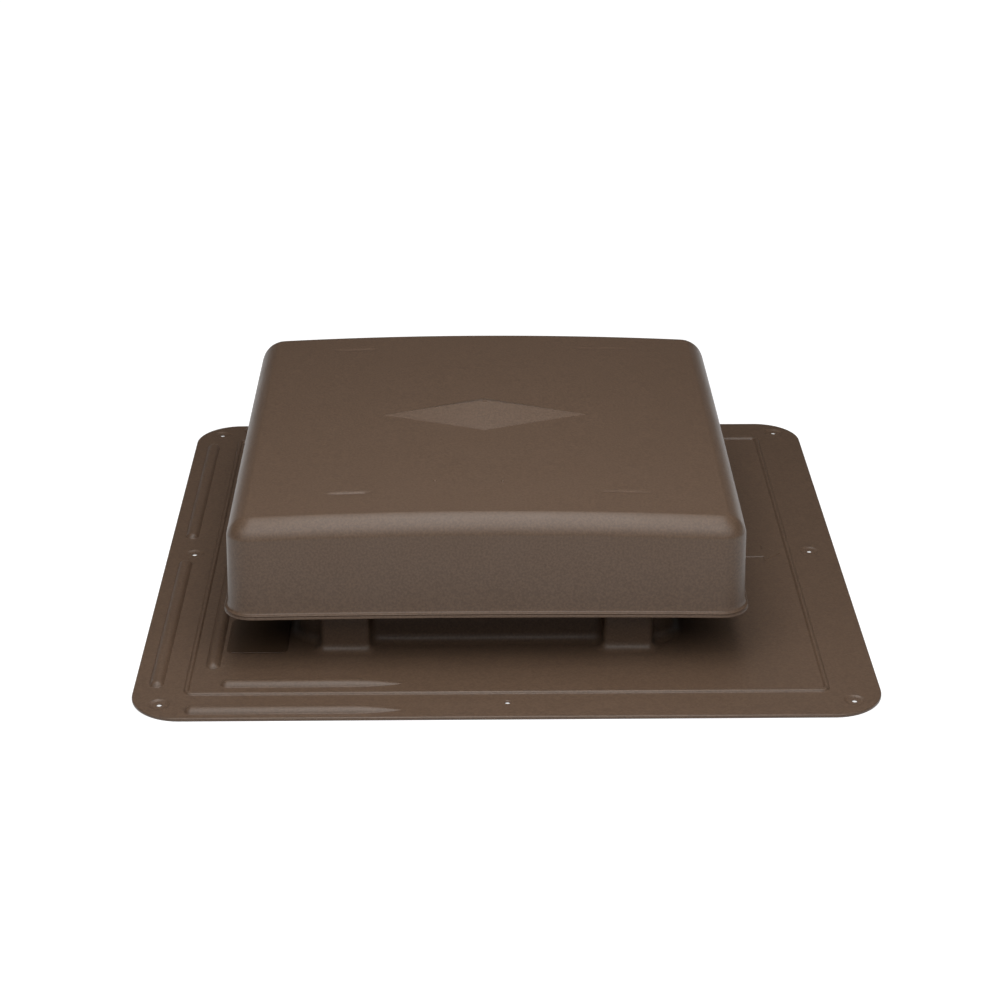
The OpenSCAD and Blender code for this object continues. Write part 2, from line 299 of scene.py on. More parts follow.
@dataclass
class MeshDraft:
    """Points in mm and faces of one piece while it is being built.

    Attributes:
        points: Loops of points in the order in which they came.
        faces: Numbers of the points round each face.
        count: Number of points so far.
    """

    points: list[np.ndarray] = field(default_factory=list)
    faces: list[tuple[int, ...]] = field(default_factory=list)
    count: int = 0

    def add_points(self, loop: np.ndarray) -> int:
        """Adds a loop of points.

        Args:
            loop: The points, with three columns.

        Returns:
            The number of the first one.
        """
        first = self.count
        self.points.append(loop)
        self.count += len(loop)
        return first

    def loft(self, loops: Sequence[np.ndarray], cap_start: bool = False, cap_end: bool = False,
             open_loop: bool = False) -> None:
        """Skins a row of loops that have the same number of points.

        Args:
            loops: Loops in order, so that the outside is on their right.
            cap_start: Closes the first loop with one face.
            cap_end: Closes the last loop with one face.
            open_loop: The loops are open rows and not closed rings.
        """
        firsts = [self.add_points(loop) for loop in loops]
        n = len(loops[0])
        for low, high in zip(firsts, firsts[1:]):
            for i in range(n - 1 if open_loop else n):
                j = (i + 1) % n
                self.faces.append((low + i, low + j, high + j, high + i))
        if cap_start:
            self.faces.append(tuple(reversed(range(firsts[0], firsts[0] + n))))
        if cap_end:
            self.faces.append(tuple(range(firsts[-1], firsts[-1] + n)))

    def sheet(self, outer: np.ndarray, holes: Sequence[np.ndarray], up: bool) -> None:
        """Fills a flat outline that has holes in it.

        Args:
            outer: Outer loop.
            holes: Loops of the holes.
            up: The face looks up, else down.
        """
        loops = [outer, *holes]
        first = self.count
        for loop in loops:
            self.add_points(loop)
        everything = np.concatenate(loops)
        for a, b, c in tessellate_polygon([[Vector(p) for p in loop] for loop in loops]):
            u, v = everything[b] - everything[a], everything[c] - everything[a]
            turn = u[0] * v[1] - u[1] * v[0]
            if abs(turn) >= NO_AREA:
                order = (a, b, c) if (turn > 0) == up else (c, b, a)
                self.faces.append(tuple(first + k for k in order))

    def revolve(self, x: float, y: float, section: Section, steps: int = 40,
                cap_end: bool = False) -> None:
        """Turns a section (radius, height), from its outer foot inwards, about an upright axis.

        Args:
            x: Place of the axis along the slope.
            y: Place of the axis across the slope.
            section: Points of the section in mm.
            steps: Points round the axis.
            cap_end: Closes the last ring.
        """
        self.loft([circle_loop(x, y, r, z, steps) for r, z in section], cap_end=cap_end)

    def finish(self, name: str, material: bpy.types.Material, slot: Slot,
               crease: float = 32.0, bevel: float = 0.0) -> bpy.types.Object:
        """Makes the Blender object, smooth between its creases.

        Args:
            name: Name of the piece.
            material: Material of the whole piece.
            slot: Not used.
            crease: Angle in degrees from which an edge stays sharp.
            bevel: Width in mm of a small bevel on the sharp edges.

        Returns:
            The object, riding on the root body.
        """
        mesh = bpy.data.meshes.new(name)
        mesh.from_pydata((np.concatenate(self.points) * MM).tolist(), [], self.faces)
        shape = bmesh.new()
        shape.from_mesh(mesh)
        bmesh.ops.remove_doubles(shape, verts=shape.verts, dist=WELD)
        shape.to_mesh(mesh)
        shape.free()
        mesh.polygons.foreach_set("use_smooth", [True] * len(mesh.polygons))
        mesh.set_sharp_from_angle(angle=math.radians(crease))
        mesh.materials.append(material)
        piece = bpy.data.objects.new(name, mesh)
        bpy.context.scene.collection.objects.link(piece)
        if bevel:
            edge = piece.modifiers.new("soft_edges", "BEVEL")
            edge.width = bevel * MM
            edge.segments = 2
            edge.limit_method = "ANGLE"
            edge.angle_limit = math.radians(crease)
        weigh = piece.modifiers.new("flat_faces_first", "WEIGHTED_NORMAL")
        weigh.keep_sharp = True
        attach(piece, "root")
        log.info("%s: %d faces", name, len(mesh.polygons))
        return piece


# ---------------------------------------------------------------- node groups


def new_group(name: str, scale: float, outputs: Sequence[str], **more: float
              ) -> tuple[bpy.types.ShaderNodeTree, bpy.types.Node, bpy.types.Node]:
    """Starts a shader node group with named number sockets.

    Args:
        name: Name of the group.
        scale: Default of its Scale input.
        outputs: Names of the outputs.
        more: Further inputs and their defaults.

    Returns:
        The group, its input node and its output node.
    """
    group = bpy.data.node_groups.new(name, "ShaderNodeTree")
    for label, value in {"Scale": scale, **more}.items():
        socket = group.interface.new_socket(label, in_out="INPUT", socket_type="NodeSocketFloat")
        socket.default_value = value
    for label in outputs:
        group.interface.new_socket(label, in_out="OUTPUT", socket_type="NodeSocketFloat")
    return group, group.nodes.new("NodeGroupInput"), group.nodes.new("NodeGroupOutput")


def feed(tree: bpy.types.NodeTree, value: Value, socket: bpy.types.NodeSocket) -> None:
    """Links an output to a socket, or types a value into it.

    Args:
        tree: Node tree of the socket.
        value: Output, number or colour; None leaves the socket as it is.
        socket: Input that gets it.
    """
    if isinstance(value, bpy.types.NodeSocket):
        tree.links.new(value, socket)
    elif value is not None:
        socket.default_value = value


def maths(tree: bpy.types.NodeTree, operation: str, first: Value,
          second: Value = None) -> bpy.types.NodeSocket:
    """Adds a Math node.

    Args:
        tree: Node tree that gets the node.
        operation: The node's operation.
        first: First value.
        second: Second value, if the operation has one.

    Returns:
        The node's output.
    """
    node = tree.nodes.new("ShaderNodeMath")
    node.operation = operation
    feed(tree, first, node.inputs[0])
    feed(tree, second, node.inputs[1])
    return node.outputs[0]


def noise(tree: bpy.types.NodeTree, place: bpy.types.NodeSocket, scale: Value, detail: float,
          roughness: float = 0.5) -> bpy.types.NodeSocket:
    """Adds a Noise texture.

    Args:
        tree: Node tree that gets the node.
        place: Coordinates.
        scale: Scale, as a number or a socket.
        detail: Octaves of detail.
        roughness: How strong the finer octaves are.

    Returns:
        The noise, about 0.5 on average.
    """
    node = tree.nodes.new("ShaderNodeTexNoise")
    for label, value in (("Vector", place), ("Scale", scale), ("Detail", detail),
                         ("Roughness", roughness)):
        feed(tree, value, node.inputs[label])
    return node.outputs[0]


def ramp(tree: bpy.types.NodeTree, value: bpy.types.NodeSocket, low: float, high: float,
         start: float = 0.0, end: float = 1.0) -> bpy.types.NodeSocket:
    """Maps a value smoothly from one range to another.

    Args:
        tree: Node tree that gets the node.
        value: Value to map.
        low: Value that gives start.
        high: Value that gives end.
        start: Result at low.
        end: Result at high.

    Returns:
        The mapped value.
    """
    node = tree.nodes.new("ShaderNodeMapRange")
    node.interpolation_type = "SMOOTHSTEP"
    for label, number in (("Value", value), ("From Min", low), ("From Max", high),
                          ("To Min", start), ("To Max", end)):
        feed(tree, number, node.inputs[label])
    return node.outputs["Result"]


def moulded_grain_group() -> bpy.types.ShaderNodeTree:
    """Group for the fine etched grain of a mould: pebbles and pits, with painted shade that darkens
    the pits and the pebbles' hollows.

    Returns:
        The group, with outputs Height and Specks.
    """
    patch_scale, cell_scale = 0.42, 0.55            # times the pebbles' scale
    cell_rim, pitted_patch, pebble_span = (0.1, 0.45), (0.42, 0.6), (0.3, 0.7)
    pit_shade, darkest = 0.35, 0.3
    group, given, out = new_group("moulded_grain", 900.0, ("Height", "Shaded Specks"),
                                  **{"Pit Share": 0.35})
    scale = given.outputs["Scale"]
    where = group.nodes.new("ShaderNodeTexCoord").outputs["Object"]
    pebbles = noise(group, where, scale, 2.0, 0.6)
    patches = noise(group, where, maths(group, "MULTIPLY", scale, patch_scale), 1.0)
    cells = group.nodes.new("ShaderNodeTexVoronoi")
    feed(group, where, cells.inputs["Vector"])
    feed(group, maths(group, "MULTIPLY", scale, cell_scale), cells.inputs["Scale"])
    hollows = maths(group, "SUBTRACT", 1.0, ramp(group, cells.outputs["Distance"], *cell_rim))
    pits = maths(group, "MULTIPLY", hollows, ramp(group, patches, *pitted_patch))
    deep = maths(group, "MULTIPLY", pits, given.outputs["Pit Share"])
    feed(group, maths(group, "SUBTRACT", pebbles, deep), out.inputs["Height"])
    # Painted shade: the pits' colour is darkened, and the tone follows the pebbles' height, darker
    # in their hollows.
    pit_shaded = maths(group, "SUBTRACT", 1.0, maths(group, "MULTIPLY", pits, pit_shade))
    tones = ramp(group, pebbles, *pebble_span, darkest, 1.0)
    feed(group, maths(group, "MULTIPLY", pit_shaded, tones), out.inputs["Shaded Specks"])
    return group


def tone_drift_group() -> bpy.types.ShaderNodeTree:
    """Group for slow changes of tone and gloss across a moulding.

    Returns:
        The group, with outputs Tone and Gloss.
    """
    gloss_scale, octaves = 7.0, 3.0
    tone_span, gloss_span = (0.25, 0.75), (0.3, 0.7)
    group, given, out = new_group("tone_drift", 6.0, ("Tone", "Gloss"))
    scale = given.outputs["Scale"]
    where = group.nodes.new("ShaderNodeTexCoord").outputs["Object"]
    slow = noise(group, where, scale, octaves, 0.55)
    feed(group, ramp(group, slow, *tone_span), out.inputs["Tone"])
    quick = noise(group, where, maths(group, "MULTIPLY", scale, gloss_scale), octaves, 0.6)
    feed(group, ramp(group, quick, *gloss_span), out.inputs["Gloss"])
    return group


# ---------------------------------------------------------------- finishes


@dataclass(frozen=True)
class PlasticFinish:
    """Finish of a moulded plastic surface.

    Attributes:
        name: Name of the material.
        deep: Colour in the pits of the grain and the pebbles' hollows, darker there as painted
            shade, linear.
        high: Colour on the grain's tops, linear.
        roughness: Roughness in the middle of its drift.
        grain_scale: Size of the grain, in cells per metre.
        grain_depth: Depth of the grain in mm.
        specular: Specular level of the surface.
        gloss_drift: How much the roughness drifts either way.
        tone_drift: Share of the colour's range that the slow drift keeps at least.
    """

    name: str
    deep: Triple
    high: Triple
    roughness: float
    grain_scale: float
    grain_depth: float
    specular: float
    gloss_drift: float = 0.015
    tone_drift: float = 0.93

    def build(self, grain: bpy.types.ShaderNodeTree, drift: bpy.types.ShaderNodeTree
              ) -> bpy.types.Material:
        """Makes the material.

        Args:
            grain: The moulded_grain group.
            drift: The tone_drift group.

        Returns:
            The finished material.
        """
        material = bpy.data.materials.new(self.name)
        material.use_nodes = True
        tree = material.node_tree
        surface = tree.nodes["Principled BSDF"]
        surface.inputs["Specular IOR Level"].default_value = self.specular
        etched, slow = (tree.nodes.new("ShaderNodeGroup") for _ in range(2))
        etched.node_tree, slow.node_tree = grain, drift
        etched.inputs["Scale"].default_value = self.grain_scale
        tone = ramp(tree, slow.outputs["Tone"], 0.0, 1.0, self.tone_drift, 1.0)
        tones = tree.nodes.new("ShaderNodeMix")
        tones.data_type = "RGBA"
        mixed, first, last, result = 0, 6, 7, 2     # sockets of a Mix node for colours
        # The mix takes the grain's painted shade in pits and hollows, together with the slow random
        # tone.
        feed(tree, maths(tree, "MULTIPLY", etched.outputs["Shaded Specks"], tone), tones.inputs[mixed])
        feed(tree, (*self.deep, 1), tones.inputs[first])
        feed(tree, (*self.high, 1), tones.inputs[last])
        feed(tree, tones.outputs[result], surface.inputs["Base Color"])
        gloss = ramp(tree, slow.outputs["Gloss"], 0.0, 1.0, self.roughness - self.gloss_drift,
                     self.roughness + self.gloss_drift)
        feed(tree, gloss, surface.inputs["Roughness"])
        bump = tree.nodes.new("ShaderNodeBump")
        bump.inputs["Strength"].default_value = 1.0
        bump.inputs["Distance"].default_value = self.grain_depth * MM
        feed(tree, etched.outputs["Height"], bump.inputs["Height"])
        feed(tree, bump.outputs["Normal"], surface.inputs["Normal"])
        return material


BASE_BROWN = PlasticFinish(
    "base_brown_grained", deep=(0.077, 0.0480, 0.0310), high=(0.121, 0.0755, 0.0484),
    roughness=0.42, grain_scale=760.0, grain_depth=0.05, specular=0.44)
HOOD_BROWN = replace(BASE_BROWN, name="hood_brown_grained", grain_depth=0.055)
SCREEN_BROWN = PlasticFinish(
    "screen_dark_brown", deep=(0.035, 0.026, 0.020), high=(0.055, 0.040, 0.031),
    roughness=0.6, grain_scale=700.0, grain_depth=0.04, specular=0.4)
# The panel's darker brown is partly its own colour and partly painted shade of the hood over it.
POLISHED_SHADED_BROWN = PlasticFinish(
    "polished_shaded_brown", deep=(0.048, 0.028, 0.016), high=(0.066, 0.039, 0.023),
    roughness=0.34, grain_scale=500.0, grain_depth=0.008, specular=0.36, gloss_drift=0.04)


@dataclass(frozen=True)
class Finishes:
    """All the finishes of the vent.

    Attributes:
        base: Grained brown of the base.
        hood: Grained brown of the hood.
        screen: Matt dark brown of the insect screen.
        polished: Smooth dark brown of the bare panel, partly its own colour and partly painted
            shade of the hood.
    """

    base: bpy.types.Material
    hood: bpy.types.Material
    screen: bpy.types.Material
    polished: bpy.types.Material

    @classmethod
    def build(cls) -> "Finishes":
        """Makes the shared groups and the materials.

        Returns:
            The four finished materials.
        """
        shared = moulded_grain_group(), tone_drift_group()
        return cls(*(finish.build(*shared) for finish in (BASE_BROWN, HOOD_BROWN, SCREEN_BROWN,
                                                          POLISHED_SHADED_BROWN)))


# ---------------------------------------------------------------- base


@dataclass
class BaseMoulding:
    """Flange, throat, posts and all that is moulded on the flange. Sizes in mm.

    Attributes:
        width: Width of the flange.
        depth: Depth of the flange.
        sheet: Thickness of the flange's sheet.
        corner: Radius of the flange's corners.
        low_round: Radius of the flange's lower edge.
        top_round: Radius of the flange's upper edge and of the throat's rim.
        nail_reach: Distance of the nail holes from the middle.
        dished_ring: Section of a nail hole with a dished ring, as (radius, height).
        plain_ring: Section of a nail hole with a soft edge.
        bead_reach: Half width and half depth of the frame bead.
        bead_corner: Corner radius of the bead.
        bead_half: Half section of the bead, above the sheet.
        rib_radius: Radius of the bar that a rib is part of.
        rib_sink: Height of that bar's centre above the sheet.
        rib_fillet: Radius of the hollow at a rib's foot.
        side_ribs: Place along the slope and reach of the two rows of side ribs.
        side_gap: Ends of the gap in those rows.
        row_ribs: Start of each front and rear rib, and its distance from the middle.
        row_end: Place where their taper starts.
        row_point: Length of their taper.
        throat: Outline of the throat's outer face.
        throat_height: Height of the throat's rim.
        throat_wall: Thickness of the throat's wall.
        ledge: Width, upper height and lower height of the screen's ledge.
        foot: Radius of the fillet at the foot of throat and posts.
        post_places: Middles of the four posts.
        post_size: Width and depth of a post.
        post_corner: Corner radius of a post.
        post_wall: Thickness of a post's wall.
        post_top: Height of a post.
        panel: Outline of the bare panel.
        arrow_along: Tail, neck and tip of the arrow along the slope.
        arrow_across: Middle of the arrow, half width of its shaft and of its head.
        arrow_edge: Insets and heights of the arrow's edge.
        pin_places: Place along the slope and reach of the pin marks.
        pin_mark: Section of a pin mark.
    """

    width: float = 419.1
    depth: float = 419.1
    sheet: float = 2.0
    corner: float = 29.0
    low_round: float = 0.5
    top_round: float = 0.8
    nail_reach: float = 193.0
    dished_ring: Section = (
        (6.3, 2.0), (5.95, 1.97), (5.5, 1.75), (4.9, 1.4), (4.2, 1.22), (3.3, 1.2),
        (2.5, 1.32), (1.9, 1.42), (1.55, 1.38), (1.4, 1.2), (1.4, 0.8), (3.0, 0.0))
    plain_ring: Section = (
        (2.6, 2.0), (2.2, 1.97), (1.8, 1.85), (1.5, 1.6), (1.4, 1.4), (1.4, 0.9), (3.0, 0.0))
    bead_reach: Point = (179.5, 182.0)
    bead_corner: float = 4.0
    bead_half: Section = (
        (1.85, 0.0), (1.6, 0.06), (1.42, 0.24), (1.28, 0.5), (1.06, 0.82), (0.74, 1.06),
        (0.38, 1.19), (0.0, 1.22))
    rib_radius: float = 4.533
    rib_sink: float = -1.933
    rib_fillet: float = 0.5
    side_ribs: Section = ((-197.0, 170.05), (-167.4, 148.05))
    side_gap: Point = (-15.1, 26.1)
    row_ribs: Section = ((-174.2, 200.6), (-157.0, 170.4))
    row_end: float = -86.0
    row_point: float = 27.3
    throat: RoundedOutline = RoundedOutline(219.0, 239.0, 14.0, (-11.0, 0.0))
    throat_height: float = 42.0
    throat_wall: float = 2.5
    ledge: Triple = (2.5, 26.0, 23.0)
    foot: float = 5.5
    post_places: Section = ((-92.5, -124.2), (70.5, -124.2), (-92.5, 124.2), (70.5, 124.2))
    post_size: Point = (28.4, 14.4)
    post_corner: float = 3.0
    post_wall: float = 2.0
    post_top: float = 88.5
    panel: RoundedOutline = RoundedOutline(34.2, 42.4, 4.0, (-143.6, -112.1))
    arrow_along: Triple = (139.0, 163.0, 174.4)
    arrow_across: Triple = (-3.6, 5.3, 11.2)
    arrow_edge: Section = ((-0.1, 2.0), (0.15, 2.3), (0.45, 2.45))
    pin_places: Point = (-162.0, 146.6)
    pin_mark: Section = ((2.6, 2.0), (2.4, 2.12), (2.15, 2.14), (1.95, 2.05), (0.3, 2.05))

    def nail_places(self) -> Profile:
        """Middles of the eight nail holes."""
        steps = (-1, 0, 1)
        return [(x * self.nail_reach, y * self.nail_reach) for x in steps for y in steps if x or y]

    def build_shell(self, plastic: bpy.types.Material) -> bpy.types.Object:
        """Flange sheet, throat with its ledge, and nail holes with their rings.

        Args:
            plastic: Plastic of the base.

        Returns:
            The piece that stands for the CAD base.
        """
        draft = MeshDraft()
        rim = RoundedOutline(self.width, self.depth, self.corner, corner_steps=14)
        low, high, top, wall = self.low_round, self.top_round, self.throat_height, self.throat_wall
        draft.loft(rim.carried(arc(-low, low, low, 270, 360, 3)
                               + arc(-high, self.sheet - high, high, 0, 90, 4)))
        posted = PostedOutline(self.throat)
        outside = (arc(self.foot, self.sheet + self.foot, self.foot, 270, 180, 7)
                   + arc(-high, top - high, high, 0, 90, 4))
        draft.loft([posted.loop(u, v) for u, v in outside])
        reach, above, below = self.ledge
        shelf = [(-wall, above), (-wall - reach, above), (-wall - reach, below), (-wall, below)]
        inside = arc(high - wall, top - high, high, 90, 180, 4) + shelf + [(-wall, 0.0)]
        draft.loft(self.throat.carried(inside))
        draft.sheet(posted.loop(-high, top), [self.throat.loop(high - wall, top)], True)
        over, under = [], []
        for x, y in self.nail_places():
            ring = self.dished_ring if x else self.plain_ring
            draft.revolve(x, y, ring)
            over.append(circle_loop(x, y, ring[0][0], self.sheet))
            under.append(circle_loop(x, y, ring[-1][0], 0.0))
        draft.sheet(rim.loop(-high, self.sheet), [posted.loop(self.foot, self.sheet), *over], True)
        draft.sheet(rim.loop(-low, 0.0), [self.throat.loop(-wall, 0.0), *under], False)
        piece = draft.finish("flange_and_throat", plastic, Slot.BASE)
        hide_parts("base")
        return piece

    def build_bead(self, plastic: bpy.types.Material) -> bpy.types.Object:
        """Raised bead in a rounded rectangle round the throat.

        Args:
            plastic: Plastic of the base.

        Returns:
            The bead.
        """
        section = [(u, self.sheet + LIFT + v) for u, v in mirrored(self.bead_half)]
        outline = RoundedOutline(2 * self.bead_reach[0], 2 * self.bead_reach[1],
                                 self.bead_corner, along=(12, 12))
        draft = MeshDraft()
        draft.loft(outline.carried(section))
        return draft.finish("frame_bead", plastic, Slot.BASE)

    def build_side_ribs(self, plastic: bpy.types.Material) -> bpy.types.Object:
        """Four ball-ended ribs on the left of the flange.

        Args:
            plastic: Plastic of the base.

        Returns:
            The ribs, as one piece.
        """
        draft = MeshDraft()
        half = bar_section(self.rib_radius, self.rib_sink, self.rib_fillet)
        crest = 0.02
        for x, far in self.side_ribs:
            for start, end in ((-far, self.side_gap[0]), (self.side_gap[1], far)):
                draft.loft([capsule_loop(x, start, end, max(u, crest), self.sheet + LIFT + v)
                            for u, v in half], cap_end=True)
        return draft.finish("side_ribs", plastic, Slot.BASE, crease=60)

    def build_row_ribs(self, plastic: bpy.types.Material) -> bpy.types.Object:
        """Ribs along the front and rear that run out to a point.

        Args:
            plastic: Plastic of the base.

        Returns:
            The ribs, as one piece.
        """
        draft = MeshDraft()
        for side in Side:
            for start, reach in self.row_ribs:
                draft.loft(self._rib_rows(start, side.value * reach), open_loop=True)
        return draft.finish("row_ribs", plastic, Slot.BASE, crease=60)

    def _rib_rows(self, start: float, y: float) -> list[np.ndarray]:
        """Sections of one rib along the slope, with a ball at its start and a point at its end.

        Args:
            start: Middle of the ball.
            y: Place across the slope.

        Returns:
            The sections, from the point back to the ball.
        """
        ball_steps, bar_steps, point_steps = 15, 8, 24
        last, fullness = 0.998, 1.7
        full_swell, least_fillet = 1.2, 0.02
        radius, sink, end = self.rib_radius, self.rib_sink, self.row_end
        half_cut = math.sqrt(radius ** 2 - sink ** 2)
        stations: Profile = []
        for k in range(1, ball_steps):
            back = half_cut * math.cos(math.pi / 2 * k / ball_steps)
            stations.append((start - back, math.sqrt(radius ** 2 - back ** 2)))
        stations += [(start + (end - start) * k / bar_steps, radius) for k in range(bar_steps + 1)]
        for k in range(1, point_steps + 1):
            run = last * k / point_steps
            stations.append((end + self.row_point * run,
                             (radius + sink) * (1 - run ** fullness) - sink))
        rows = []
        for x, swell in stations:
            fillet = max(self.rib_fillet * min(1.0, (swell + sink) / full_swell), least_fillet)
            outline = mirrored(bar_section(swell, sink, fillet))
            rows.append(np.array([(x, y + u, self.sheet + LIFT + v) for u, v in outline]))
        return rows[::-1]

    def build_posts(self, plastic: bpy.types.Material) -> bpy.types.Object:
        """Four hollow posts that carry the hood.

        Args:
            plastic: Plastic of the base.

        Returns:
            The posts, as one piece.
        """
        draft = MeshDraft()
        tuck, proud, overlap, well_lift = 0.2, 0.02, 2.0, 0.05
        section = [(proud, self.throat_height - overlap), (proud, self.post_top),
                   (-self.post_wall, self.post_top), (-self.post_wall, self.sheet + well_lift)]
        for x, y in self.post_places:
            outline = RoundedOutline(self.post_size[0], self.post_size[1] - tuck,
                                     self.post_corner, (x, y + math.copysign(tuck / 2, y)),
                                     corner_steps=7)
            draft.loft(outline.carried(section), cap_end=True)
        return draft.finish("posts", plastic, Slot.BASE)

    def build_panel(self, polished: bpy.types.Material) -> bpy.types.Object:
        """Bare polished panel beside the throat.

        Args:
            polished: Smooth finish of the panel, with painted shade of the hood in its colour.

        Returns:
            The panel.
        """
        draft = MeshDraft()
        edge, skirt = 0.3, [(0.6, self.sheet), (0.1, self.sheet + 0.05)]
        section = skirt + arc(-edge, self.sheet + 0.1, edge, 0, 90, 3)
        draft.loft(self.panel.carried(section), cap_end=True)
        return draft.finish("bare_panel", polished, Slot.BASE)

    def build_arrow(self, plastic: bpy.types.Material) -> bpy.types.Object:
        """Raised arrow that points up the slope of the roof.

        Args:
            plastic: Plastic of the base.

        Returns:
            The arrow.
        """
        (tail, neck, tip), (y, half, wide) = self.arrow_along, self.arrow_across
        corners = [(tail, y - half), (neck, y - half), (neck, y - wide), (tip, y),
                   (neck, y + wide), (neck, y + half), (tail, y + half)]
        draft = MeshDraft()
        draft.loft([at_height(inset_polygon(corners, inset), height)
                    for inset, height in self.arrow_edge], cap_end=True)
        return draft.finish("flow_arrow", plastic, Slot.BASE, crease=25)

    def build_pin_marks(self, plastic: bpy.types.Material) -> bpy.types.Object:
        """Small round marks that the mould's pins leave on the flange.

        Args:
            plastic: Plastic of the base.

        Returns:
            The marks, as one piece.
        """
        draft = MeshDraft()
        x, reach = self.pin_places
        for side in Side:
            draft.revolve(x, side.value * reach, self.pin_mark, steps=28, cap_end=True)
        return draft.finish("pin_marks", plastic, Slot.BASE)

    def build(self, finishes: Finishes) -> None:
        """Builds every piece of the base.

        Args:
            finishes: The vent's finishes.
        """
        for build_piece in (self.build_shell, self.build_bead, self.build_side_ribs,
                            self.build_row_ribs, self.build_posts):
            build_piece(finishes.base)
        self.build_panel(finishes.polished)
        self.build_arrow(finishes.base)
        self.build_pin_marks(finishes.base)


# ---------------------------------------------------------------- hood


@dataclass(frozen=True)
class SinkMark:
    """Shallow step in the hood's top over the edge of a pad. Sizes in mm.

    Attributes:
        left: Left end.
        right: Right end.
        y: Place across the slope.
        depth: Depth of the dip.
    """

    left: float
    right: float
    y: float
    depth: float

    def dip(self, loop: np.ndarray) -> np.ndarray:
        """Depth of the mark at each point of a loop.

        Args:
            loop: Points with three columns.

        Returns:
            The depths, zero away from the mark.
        """
        fade, front_run, rear_run = 3.0, 2.2, 0.5
        inside = np.minimum(loop[:, 0] - self.left, self.right - loop[:, 0])
        along = np.clip(inside / fade, 0, 1)
        across = loop[:, 1] - self.y
        run = np.where(across < 0, front_run, rear_run)
        return self.depth * along * along * (3 - 2 * along) * np.exp(-(across / run) ** 2)


